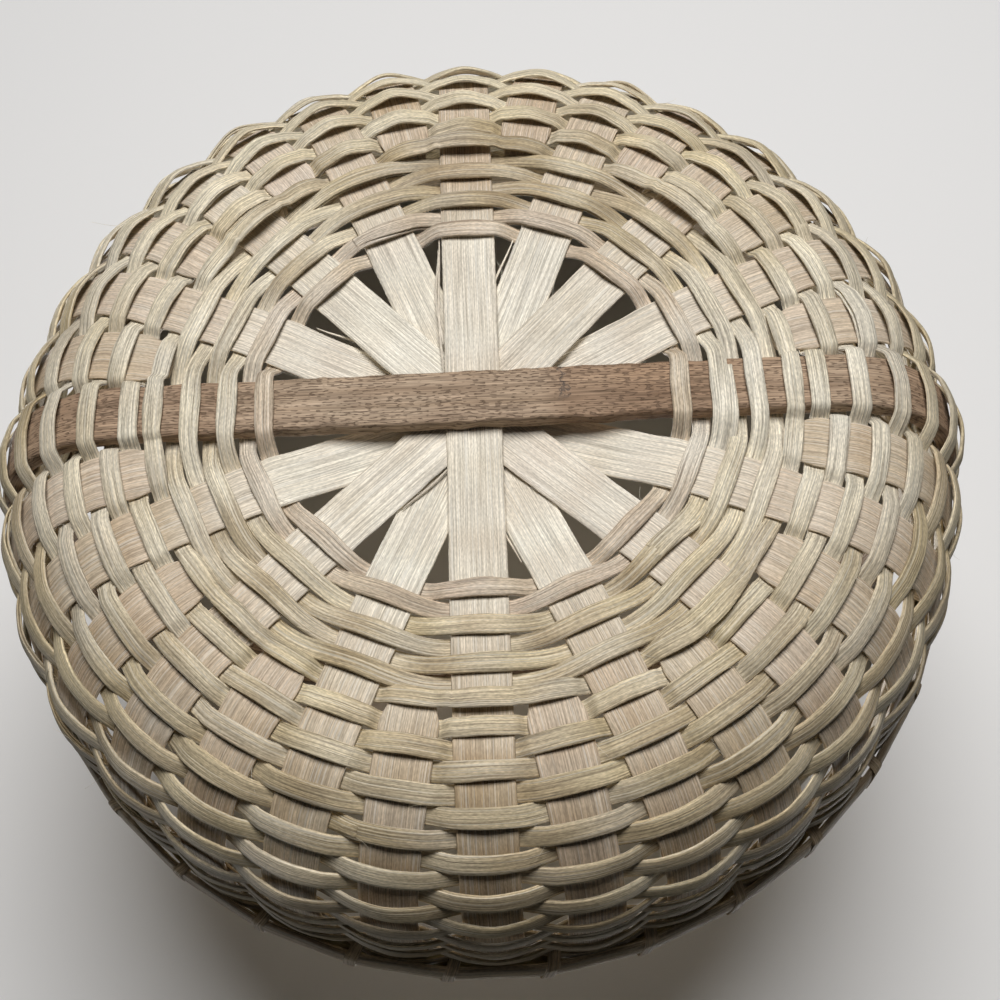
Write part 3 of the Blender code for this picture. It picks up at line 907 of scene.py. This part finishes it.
def splinter(rng, arm, level, edge, first, last, gap):
    places = np.linspace(first, last, 36)
    share = (places - first) / (last - first)
    open_gap = gap * np.sin(share * math.pi) ** 1.5 + gap * 0.5 * share**3
    beside = SPOKE_WIDTH / 2 + SPLINTER_GAP + open_gap
    side_axis = tangent(arm * ARM_ANGLE)
    centres = spoke_path(arm, level, places) + side_axis * edge * beside[:, None]
    width = rng.uniform(*SPLINTER_WIDTHS) * np.sin(np.clip(share, 0.04, 0.96) * math.pi) ** 0.4
    tone = (0.3, 0.2, 0.1)
    return Strip(centres, -side_axis, width, SPLINTER_THICKNESS, FLAT_REED, 60 + first * 90, tone)


# Wander of a spoke's width, and where the loose fibres of a long spoke begin
SPOKE_UNEVEN = 0.014
HAIRS_START = 18 * MM


def add_spoke(name, arm, centres, width, seed, tone, loose):
    # Outwards is forward x width axis, so the width axis points back round the basket.
    axis = -tangent(arm * ARM_ANGLE)
    strip = Strip(centres, axis, width, REED_SPOKE_THICKNESS, FLAT_REED, seed, tone)
    add_piece(name + "_reed", [strip, *loose], spoke_reed, [name])


def make_long_spoke(level, arm, name):
    rng = np.random.default_rng(200 + level)
    count = int(SPOKE_END / SPOKE_STEP)
    places = np.linspace(0, SPOKE_END, count)
    far_arm = arm + HALF_TURN
    near, far = spoke_path(arm, level, places), spoke_path(far_arm, level, places)
    centres = np.concatenate([far[:0:-1], near])
    along = np.concatenate([-places[:0:-1], places])
    width = SPOKE_WIDTH * (1 + wander(rng, SPOKE_UNEVEN, (11, 23, 37, 61), along * 10))
    tone = np.concatenate([
        spoke_tone(rng, far_arm, places[:0:-1], along[: count - 1]),
        spoke_tone(rng, arm, places, along[count - 1 :]),
    ])
    loose = []
    for end in (arm, far_arm):
        loose += spoke_hairs(rng, end, level, HAIRS_START, 7)
        for hub, at, edge, *sizes in SPLINTERS:
            if (hub, at) == (level, end):
                loose.append(splinter(rng, end, level, edge, *(size * MM for size in sizes)))
    add_spoke(name, arm, centres, width, 40 + level * 0.71, tone, loose)


def make_inserted_spoke(arm, name):
    rng = np.random.default_rng(300 + arm)
    tip = LAST_BASE_PLACE - WEAVER_WIDTH / 2 + CLEARANCE
    places = np.linspace(tip, SPOKE_END, int((SPOKE_END - tip) / SPOKE_STEP))
    centres = spoke_path(arm, NO_HUB, places)
    share = np.clip((places - tip) / (FIRST_SIDE_PLACE - tip), 0, 1)
    width = TIP_WIDTH + (SPOKE_WIDTH - TIP_WIDTH) * share
    width *= 1 + wander(rng, SPOKE_UNEVEN, (11, 23, 37), places * 10)
    tone = spoke_tone(rng, arm, places, places)
    loose = spoke_hairs(rng, arm, NO_HUB, FIRST_SIDE_PLACE, 3)
    add_spoke(name, arm, centres, width, 50 + arm * 0.53, tone, loose)


# The oak hoop


# Stations on its bends and on its upright walls, and on a quarter of the arch
BEND_STEP = 2.5 * MM
WALL_STEP = 2.0 * MM
ARCH_STATIONS = 110

# The rim bands lie in a notch, with this room and slope above and below them.
NOTCH_ROOM = 1.0 * MM
NOTCH_END = 2.6 * MM

# It is a little thinner than its solid, and uneven. Its sawn edges are rough.
OAK_SHY = 0.1 * MM
OAK_UNEVEN = 0.15 * MM
EDGE_STEP = 3.5 * MM
EDGE_LENGTH = 1.6
EDGE_ROUGHNESS = 0.22 * MM

# How brown it is across the base, greyer in the middle than towards the rows, and elsewhere
OAK_PLACES = tuple(x * MM for x in (-200, -130, -100, -65, -35, 0, 22, 33, 60, 90, 120, 200))
OAK_BROWN_SHARES = (0.7, 0.7, 0.65, 0.25, 0.15, 0.2, 0.3, 0.9, 0.95, 0.7, 0.4, 0.5)
OAK_BROWN_REST = 0.55
UNDER_BASE = BASE_LEVEL + 5 * MM

# The dark broken line across it: its place and half the width in which it wanders
STAIN_PLACE = 30 * MM
STAIN_REACH = 9 * MM


def hoop_path():
    """Centre line of the hoop in the XZ plane, once round from where the rim hides its start."""
    wall_low = surface(CORNER_END)[1]
    x, z, _ = surface(np.concatenate([
        np.arange(0, FLAT_RADIUS, BEND_STEP),
        np.arange(FLAT_RADIUS, CORNER_END, BEND_STEP),
        np.arange(wall_low, ARCH_BASE, WALL_STEP) - wall_low + CORNER_END,
    ]))
    turn = np.linspace(0, math.pi / 2, ARCH_STATIONS)
    x = np.concatenate([x, WALL_RADIUS * np.cos(turn)])
    z = np.concatenate([z, ARCH_BASE + HANDLE_RISE * np.sin(turn)])
    x = np.concatenate([x, -x[-2:0:-1]])
    z = np.concatenate([z, z[-2:0:-1]])
    under_rim = np.argmin(np.hypot(x - WALL_RADIUS, z - RIM_MIDDLE))
    return np.roll(np.stack([x, 0 * x, z], -1), -under_rim, axis=0)


def make_hoop(name):
    rng = np.random.default_rng(7)
    centres = hoop_path()
    high = centres[:, 2]
    # In the notch the hoop is as thin as a spoke inside.
    notch = smoothstep(RIM_BOTTOM - NOTCH_END, RIM_BOTTOM - NOTCH_ROOM, high)
    notch *= 1 - smoothstep(RIM_TOP + NOTCH_ROOM, RIM_TOP + NOTCH_END, high)
    outer_face = HANDLE_FACE + (RIM_OFFSET - CLEARANCE - HANDLE_FACE) * notch
    inner_face = HANDLE_FACE + (SPOKE_FACE - HANDLE_FACE) * notch
    turn = np.linspace(0, math.tau, len(centres), endpoint=False)
    uneven = OAK_UNEVEN * (1 + wander(rng, 1.0, (9, 17, 31, 47), turn)) / 2
    thickness = outer_face + inner_face - OAK_SHY - uneven
    width = HANDLE_WIDTH * (0.99 + wander(rng, 0.008, (5, 13, 29, 41), turn))
    shift = (outer_face - inner_face) / 2
    under = high < UNDER_BASE
    brown = np.where(under, spline(OAK_PLACES, OAK_BROWN_SHARES, centres[:, 0]), OAK_BROWN_REST)
    brown += wander(rng, 0.1, (13, 22, 37), turn)
    stain = np.where(under, np.clip((centres[:, 0] - STAIN_PLACE) / STAIN_REACH, -1, 1), 1)
    tone = np.stack([brown, stain, 0 * brown], -1)
    strip = Strip(
        centres, (0, -1, 0), width, thickness, SAWN_STRIP, 0.9, tone, closed=True, shift=shift
    )
    # Each edge wanders by itself.
    points = strip.points.reshape(len(centres), len(SAWN_STRIP), 3)
    along = distances(centres, False)
    knots = np.arange(0, EDGE_LENGTH, EDGE_STEP)
    for column, (across, outwards) in enumerate(SAWN_STRIP):
        if abs(across) > 0.9:
            side_rng = np.random.default_rng(int(across > 0) + 2 * int(outwards > 0))
            edge = points[:, column, 1]
            edge += np.interp(along, knots, side_rng.normal(0, EDGE_ROUGHNESS, len(knots)))
            edge -= np.sign(edge) * OAK_SHY
    add_piece(name + "_oak", [strip], oak, [name])


# The rim


UP = (0, 0, 1)
BAND_STATIONS = 640
BAND_WAVE = 0.25 * MM


def ring_tone(rng, angle):
    dark = 0.35 + wander(rng, 0.15, (2, 5, 9, 17), angle)
    pink = 0.1 + wander(rng, 0.1, (3, 8, 15), angle)
    return reed_tone(dark, pink, wander(rng, 0.12, (4, 7, 13), angle))


def make_rim_band(offset, facing, name, seed):
    """A half-round band: facing is 1 for the outer band and -1 for the inner one."""
    rng = np.random.default_rng(seed)
    angle = np.linspace(0, math.tau, BAND_STATIONS, endpoint=False) * facing
    level = RIM_MIDDLE + wander(rng, BAND_WAVE, (2, 3, 5, 9), angle)
    centres = round_points(ring_reach(WALL_RADIUS + offset, angle), angle, level)
    width = (RIM_TOP - RIM_BOTTOM) * (0.985 + wander(rng, 0.01, (3, 7, 12), angle))
    tone = ring_tone(rng, angle)
    strip = Strip(centres, UP, width, RIM_THICKNESS, HALF_ROUND, seed * 0.41, tone, closed=True)
    add_piece(name + "_reed", [strip], rim_reed, [name])


TWIST_PITCH = 17.0 * MM
FILLER_STATIONS = 900
FILLER_SIDES = 24
# Where two strands meet, the cord is this share of its widest.
STRAND_SHARE = 0.74


def make_filler(first_arm, name, seed):
    """Twisted rush on the spokes' ends, in two strands."""
    gap = (HANDLE_WIDTH / 2 + CLEARANCE) / WALL_RADIUS
    angle = np.linspace(gap, math.pi - gap, FILLER_STATIONS) + first_arm * ARM_ANGLE
    centres = round_points(WALL_RADIUS, angle, FILLER_LEVEL)
    around = np.linspace(0, math.tau, FILLER_SIDES, endpoint=False)
    section = np.stack([-np.cos(around), np.sin(around)], -1)
    diameter = FILLER_RADIUS * 2
    strip = Strip(centres, UP, diameter, diameter, section, seed * 0.3, (0, 0, 0))
    phase = angle[:, None] * WALL_RADIUS / TWIST_PITCH * math.tau
    lobes = np.abs(np.cos(around[None, :] + phase)) ** 0.6
    spread = strip.points.reshape(len(angle), len(around), 3) - centres[:, None, :]
    points = centres[:, None, :] + spread * (STRAND_SHARE + (1 - STRAND_SHARE) * lobes)[..., None]
    strip.points = points.reshape(-1, 3)
    add_piece(name + "_rush", [strip], rush, [name])


# The lashing's width and thickness, its gap to the bands, and where it turns over the rim
LASHING_STRIP = (4.2 * MM, 0.65 * MM)
LASHING_GAP = 0.45 * MM
LASHING_BELLY = 0.05 * MM
LASHING_SHOULDER = 1.1 * MM
LOW_TURN = 1.6 * MM
LOW_LIFT = 0.1 * MM
TOP_TURN = 1.8 * MM
TOP_DROP = 0.2 * MM

# It begins this share of the way from an arm to the next, and its slant varies.
LASHING_START = 0.42
SLANT_SPREAD = 0.02
STATIONS_A_KNOT = 6


def make_lashing(name):
    """One thin strip that goes up outside the rim at each gap, over it and slants down inside."""
    rng = np.random.default_rng(77)
    half = RIM_FACE + LASHING_GAP
    belly, shoulder = half + LASHING_BELLY, half - LASHING_SHOULDER
    low, top = LASHING_LEVEL, LASHING_TOP
    lifted, above_low = low + LOW_LIFT, low + LOW_TURN
    dropped, below_top = top - TOP_DROP, top - TOP_TURN
    # Where the strip goes in one turn: share of the way to the next gap, offset and height
    turn = (
        (0.0, 0.0, low), (0.04, shoulder, lifted), (0.06, half, above_low),
        (0.08, belly, RIM_MIDDLE), (0.10, half, below_top), (0.12, shoulder, dropped),
        (0.16, 0.0, top), (0.22, -shoulder, dropped), (0.30, -half, below_top),
        (0.55, -belly, RIM_MIDDLE), (0.82, -half, above_low), (0.90, -shoulder, lifted),
    )
    shares, offsets, heights = (np.array(column) for column in zip(*turn))
    jitter = rng.normal(0, SLANT_SPREAD, (ARMS, len(shares))) * (shares > 0.2)
    knots = (np.arange(ARMS)[:, None] + LASHING_START + shares + jitter).ravel()
    length = np.arange(len(knots), dtype=float)
    at = np.linspace(0, len(knots), len(knots) * STATIONS_A_KNOT, endpoint=False)
    position = spline(np.append(length, len(knots)), np.append(knots, knots[0] + ARMS), at)
    offset = round_spline(length, np.tile(offsets, ARMS), at, len(knots))
    height = round_spline(length, np.tile(heights, ARMS), at, len(knots))
    angle = position * ARM_ANGLE
    centres = round_points(WALL_RADIUS + offset, angle, height)
    width, thickness = LASHING_STRIP
    width = width * (1 + 0.04 * np.sin(at * 0.7))
    tone = ring_tone(rng, angle)
    strip = Strip(centres, -tangent(angle), width, thickness, OVAL_REED, 5.5, tone, closed=True)
    add_piece(name + "_reed", [strip], rim_reed, [name])


# Building


make_hoop("hoop_handle")
for level, arm in enumerate(LONG_SPOKE_ARMS, start=1):
    make_long_spoke(level, arm, f"long_spoke_{level}")
for number, arm in enumerate(range(1, ARMS, 2), start=1):
    make_inserted_spoke(arm, f"inserted_spoke_{number:02d}")
for row in range(1, LAST_ROW + 1):
    make_row(row, f"{'base' if row <= BASE_ROWS else 'side'}_row_{row:02d}")
make_row(RIM_ROW, "rim_row")
BAND_OFFSET = RIM_OFFSET + RIM_THICKNESS / 2
make_rim_band(BAND_OFFSET, 1, "outer_rim_band", 61)
make_rim_band(-BAND_OFFSET, -1, "inner_rim_band", 62)
make_filler(0, "rim_filler_back", 71)
make_filler(HALF_TURN, "rim_filler_front", 72)
make_lashing("rim_lashing")


# Camera: under the base, on the +Y side, fitted to the photograph's row crossings

CAMERA_PLACE = Vector((0.014035, 0.263500, -0.440104))
# Its right, up and back
CAMERA_AXES = Matrix((
    (0.998866, 0.035190, 0.032059),
    (0.045876, -0.891374, -0.450940),
    (0.012708, 0.451900, -0.891978),
))
SENSOR = 36.0
FOCAL_SHARE = 1.551453

camera_data = bpy.data.cameras.new("camera")
camera_data.sensor_width = SENSOR
camera_data.lens = FOCAL_SHARE * SENSOR
camera_data.clip_start = 0.01
camera_data.clip_end = 20.0
camera = placed("camera", camera_data)
camera.matrix_world = Matrix.Translation(CAMERA_PLACE) @ CAMERA_AXES.transposed().to_4x4()
scene.camera = camera


# Stage and light


def one_sided(name, color):
    """A pale floor's material, which shows from the front of its faces only."""
    tree = Tree(name)
    tree.shader.inputs["Base Color"].default_value = (*color, 1.0)
    tree.shader.inputs["Roughness"].default_value = 0.85
    behind = tree.node("ShaderNodeNewGeometry")["Backfacing"]
    clear = tree.node("ShaderNodeBsdfTransparent")[0]
    both = tree.node("ShaderNodeMixShader", {0: behind, 1: tree.shader.outputs[0], 2: clear})
    tree.links.new(both[0], tree.nodes["Material Output"].inputs["Surface"])
    return tree.material


def stage_plane(name, points, faces, material):
    """A flat piece of the stage, which throws no shadow and no light back on the basket."""
    mesh = bpy.data.meshes.new(name)
    mesh.from_pydata(points, [], faces)
    mesh.materials.append(material)
    plane = placed(name, mesh)
    plane.visible_shadow = False
    plane.visible_diffuse = False
    plane.visible_glossy = False
    return plane


STAGE_SIZE = 40.0
TABLE_LEVEL = cad_high.z + 1.5 * MM
FLOOR_LEVEL = -0.2 * MM
# The part of the table that only the basket's holes show: its middle and its half axes
SHADED_MIDDLE = (0.0, -0.105)
SHADED_REACH = (0.205, 0.225)
SHADED_CORNERS = 64

turns = np.linspace(0, math.tau, SHADED_CORNERS, endpoint=False)
inner = round_points(1.0, turns, 0.0) * (*SHADED_REACH, 0.0) + (*SHADED_MIDDLE, TABLE_LEVEL)
outer = round_points(STAGE_SIZE, turns, TABLE_LEVEL)
ring = []
for i in range(SHADED_CORNERS):
    following = (i + 1) % SHADED_CORNERS
    ring.append((i, following, SHADED_CORNERS + following, SHADED_CORNERS + i))
square = ((-1, -1), (1, -1), (1, 1), (-1, 1))
corners = [(x * STAGE_SIZE, y * STAGE_SIZE, FLOOR_LEVEL) for x, y in square]
table_paint = one_sided("table", (0.78, 0.77, 0.76))
# A middle grey under a bright lamp looks pale, and hides the light that the basket throws on it.
floor_paint = one_sided("floor", (0.30, 0.298, 0.296))
table = stage_plane("table_under_upturned_basket", [*inner, *outer], ring, table_paint)
stage_plane("table_in_its_shade", inner, [range(SHADED_CORNERS)[::-1]], table_paint)
floor = stage_plane("floor", corners, [(0, 1, 2, 3)], floor_paint)
TABLE = bpy.data.collections.new("lit_table")
TABLE.objects.link(table)
FLOOR = bpy.data.collections.new("lit_floor")
FLOOR.objects.link(floor)


def lamp(name, kind, power, facing, shines_on):
    """A lamp that faces along a direction and shines on one collection."""
    data = bpy.data.lights.new(name, kind)
    data.energy = power
    light = placed(name, data)
    light.rotation_euler = Vector(facing).to_track_quat("-Z", "Y").to_euler()
    light.light_linking.receiver_collection = shines_on
    return light


WHITE = (1.0, 1.0, 1.0)
COOL = (0.97, 0.985, 1.0)

# Discs: place, target, size, power, colour and what each shines on. In the photograph the light
# comes from beyond the basket's far edge.
for name, place, target, size, power, color, shines_on in (
    ("key_below", (0.05, -0.45, -1.65), (0, 0, 0.03), 1.0, 36.2, (1.0, 0.99, 0.985), BASKET),
    ("fill_below", (0.5, 1.0, -1.3), (0, 0, 0.05), 1.2, 0.5, (0.95, 0.975, 1.0), BASKET),
    ("table_light", (0.1, -0.4, -1.4), (0, 0, 0.27), 1.1, 30.0, WHITE, TABLE),
    ("key_above", (-1.1, -1.5, 1.9), (0, 0, 0.12), 1.2, 42.0, (1.0, 0.985, 0.96), BASKET),
    ("fill_above_east", (1.7, 0.8, 1.4), (0, 0, 0.12), 1.6, 8.0, COOL, BASKET),
    ("fill_above_west", (-1.7, 1.0, 1.2), (0, 0, 0.12), 1.6, 10.0, COOL, BASKET),
    ("soft_overhead", (0.3, -0.5, 2.6), (0, 0, 0.1), 2.2, 32.0, WHITE, BASKET),
):
    light = lamp(name, "AREA", power, Vector(target) - Vector(place), shines_on)
    light.data.shape = "DISK"
    light.data.size = size
    light.data.color = color
    light.location = place
    light.visible_camera = False

# The floor's light is even out to the horizon.
sun = lamp("floor_light", "SUN", 7.2, (0.45, 0.6, -1.0), FLOOR)
sun.data.angle = math.radians(30)

world = bpy.data.worlds.new("world")
world.use_nodes = True
backdrop = world.node_tree.nodes["Background"].inputs
backdrop["Color"].default_value = (0.865, 0.865, 0.855, 1.0)
backdrop["Strength"].default_value = 0.66
scene.world = world
# Only a pale backdrop: the lamps do all the lighting.
world.cycles_visibility.diffuse = False
world.cycles_visibility.glossy = False
scene.view_settings.view_transform = "Standard"
